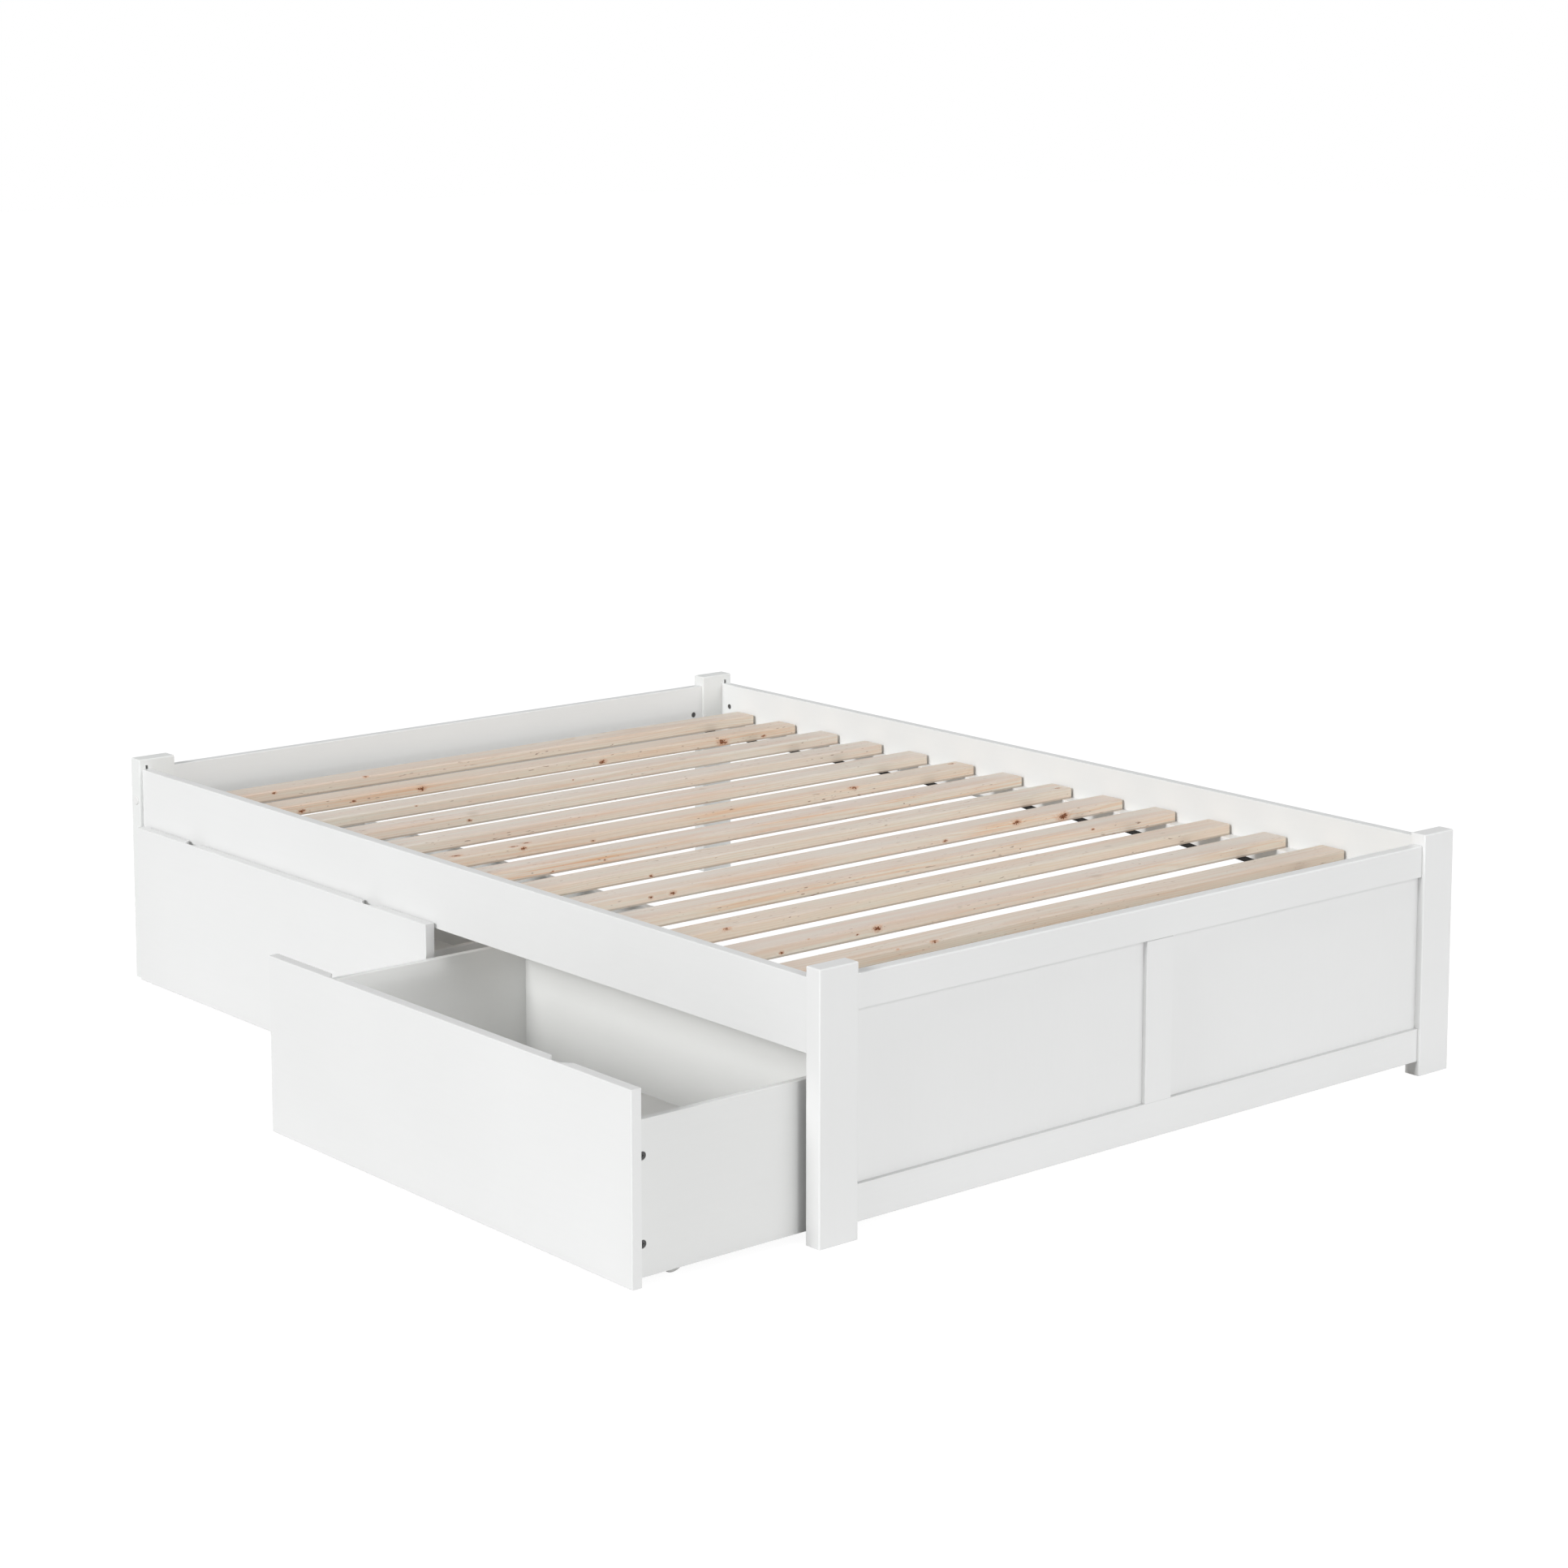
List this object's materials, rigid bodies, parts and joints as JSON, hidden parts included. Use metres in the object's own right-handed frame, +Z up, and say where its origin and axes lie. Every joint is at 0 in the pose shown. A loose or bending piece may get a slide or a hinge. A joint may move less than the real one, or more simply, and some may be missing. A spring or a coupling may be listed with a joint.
{
  "type": "platform bed with storage drawers",
  "caption": "White wooden platform bed with bare pine slats and a framed footboard; rolling storage drawers pull out from under one side.",
  "frame": {"origin": "on the floor, at the middle of the whole footprint with the foot-end drawer open as at rest", "axes": "+Y from the footboard to the head board, -X the side the drawers roll out of, +Z up"},
  "size_m": [1.7652, 2.008, 0.426],
  "materials": {
    "white_paint": "satin white paint",
    "white_board": "thin white-faced board",
    "pine": "planed bare pine with knots",
    "black_webbing": "woven webbing",
    "zinc_steel": "zinc plated",
    "dark_steel": "dark zinc",
    "white_plastic": "matt",
    "wheel_plastic": "moulded nylon"
  },
  "bodies": {
    "bed_frame": {"post_foot_left": "white_paint", "post_foot_right": "white_paint", "post_head_left": "white_paint", "post_head_right": "white_paint", "head_board": "white_paint", "side_rail_left": "white_paint", "side_rail_right": "white_paint", "cleat_left": "white_paint", "cleat_right": "white_paint", "cleat_screws": "zinc_steel", "foot_top_rail": "white_paint", "foot_bottom_rail": "white_paint", "foot_stile": "white_paint", "foot_panel_left": "white_paint", "foot_panel_right": "white_paint", "slat_01": "pine", "slat_02": "pine", "slat_03": "pine", "slat_04": "pine", "slat_05": "pine", "slat_06": "pine", "slat_07": "pine", "slat_08": "pine", "slat_09": "pine", "slat_10": "pine", "slat_11": "pine", "slat_12": "pine", "slat_13": "pine", "slat_14": "pine", "slat_straps": "black_webbing", "rail_hook_plates": "zinc_steel", "rail_cross_pins": "dark_steel", "head_bolts": "zinc_steel", "head_barrel_nuts": "dark_steel", "bolt_caps": "white_plastic"},
    "foot_drawer": {"foot_drawer_front": "white_paint", "foot_drawer_side_near": "white_paint", "foot_drawer_side_far": "white_paint", "foot_drawer_back": "white_paint", "foot_drawer_floor": "white_board", "foot_drawer_fittings": "dark_steel", "foot_drawer_caster_forks": "zinc_steel", "foot_drawer_caster_axles": "zinc_steel"},
    "foot_wheel_front_near": {"foot_drawer_wheel_front_near": "wheel_plastic"},
    "foot_wheel_front_far": {"foot_drawer_wheel_front_far": "wheel_plastic"},
    "foot_wheel_back_near": {"foot_drawer_wheel_back_near": "wheel_plastic"},
    "foot_wheel_back_far": {"foot_drawer_wheel_back_far": "wheel_plastic"},
    "head_drawer": {"head_drawer_front": "white_paint", "head_drawer_side_near": "white_paint", "head_drawer_side_far": "white_paint", "head_drawer_back": "white_paint", "head_drawer_floor": "white_board", "head_drawer_fittings": "dark_steel", "head_drawer_caster_forks": "zinc_steel", "head_drawer_caster_axles": "zinc_steel"},
    "head_wheel_front_near": {"head_drawer_wheel_front_near": "wheel_plastic"},
    "head_wheel_front_far": {"head_drawer_wheel_front_far": "wheel_plastic"},
    "head_wheel_back_near": {"head_drawer_wheel_back_near": "wheel_plastic"},
    "head_wheel_back_far": {"head_drawer_wheel_back_far": "wheel_plastic"}
  },
  "joints": [
    {"name": "foot_drawer_roll", "type": "slide", "parent": "bed_frame", "child": "foot_drawer", "axis": [-1, 0, 0], "range_m": [-0.306, 0.174]},
    {"name": "foot_wheel_front_near_spin", "type": "hinge", "parent": "foot_drawer", "child": "foot_wheel_front_near", "pos_m": [-0.7816, -0.929, 0.0225], "axis": [0, -1, 0], "continuous": true},
    {"name": "foot_wheel_front_far_spin", "type": "hinge", "parent": "foot_drawer", "child": "foot_wheel_front_far", "pos_m": [-0.7816, -0.0495, 0.0225], "axis": [0, -1, 0], "continuous": true},
    {"name": "foot_wheel_back_near_spin", "type": "hinge", "parent": "foot_drawer", "child": "foot_wheel_back_near", "pos_m": [-0.4426, -0.929, 0.0225], "axis": [0, -1, 0], "continuous": true},
    {"name": "foot_wheel_back_far_spin", "type": "hinge", "parent": "foot_drawer", "child": "foot_wheel_back_far", "pos_m": [-0.4426, -0.0495, 0.0225], "axis": [0, -1, 0], "continuous": true},
    {"name": "head_drawer_roll", "type": "slide", "parent": "bed_frame", "child": "head_drawer", "axis": [-1, 0, 0], "range_m": [0, 0.48]},
    {"name": "head_wheel_front_near_spin", "type": "hinge", "parent": "head_drawer", "child": "head_wheel_front_near", "pos_m": [-0.4756, 0.0365, 0.0225], "axis": [0, -1, 0], "continuous": true},
    {"name": "head_wheel_front_far_spin", "type": "hinge", "parent": "head_drawer", "child": "head_wheel_front_far", "pos_m": [-0.4756, 0.916, 0.0225], "axis": [0, -1, 0], "continuous": true},
    {"name": "head_wheel_back_near_spin", "type": "hinge", "parent": "head_drawer", "child": "head_wheel_back_near", "pos_m": [-0.1366, 0.0365, 0.0225], "axis": [0, -1, 0], "continuous": true},
    {"name": "head_wheel_back_far_spin", "type": "hinge", "parent": "head_drawer", "child": "head_wheel_back_far", "pos_m": [-0.1366, 0.916, 0.0225], "axis": [0, -1, 0], "continuous": true}
  ],
  "couplings": [
    {"joint": "foot_wheel_front_near_spin", "follows": "foot_drawer_roll", "rad_per_m": 44.444},
    {"joint": "foot_wheel_front_far_spin", "follows": "foot_drawer_roll", "rad_per_m": 44.444},
    {"joint": "foot_wheel_back_near_spin", "follows": "foot_drawer_roll", "rad_per_m": 44.444},
    {"joint": "foot_wheel_back_far_spin", "follows": "foot_drawer_roll", "rad_per_m": 44.444},
    {"joint": "head_wheel_front_near_spin", "follows": "head_drawer_roll", "rad_per_m": 44.444},
    {"joint": "head_wheel_front_far_spin", "follows": "head_drawer_roll", "rad_per_m": 44.444},
    {"joint": "head_wheel_back_near_spin", "follows": "head_drawer_roll", "rad_per_m": 44.444},
    {"joint": "head_wheel_back_far_spin", "follows": "head_drawer_roll", "rad_per_m": 44.444}
  ]
}
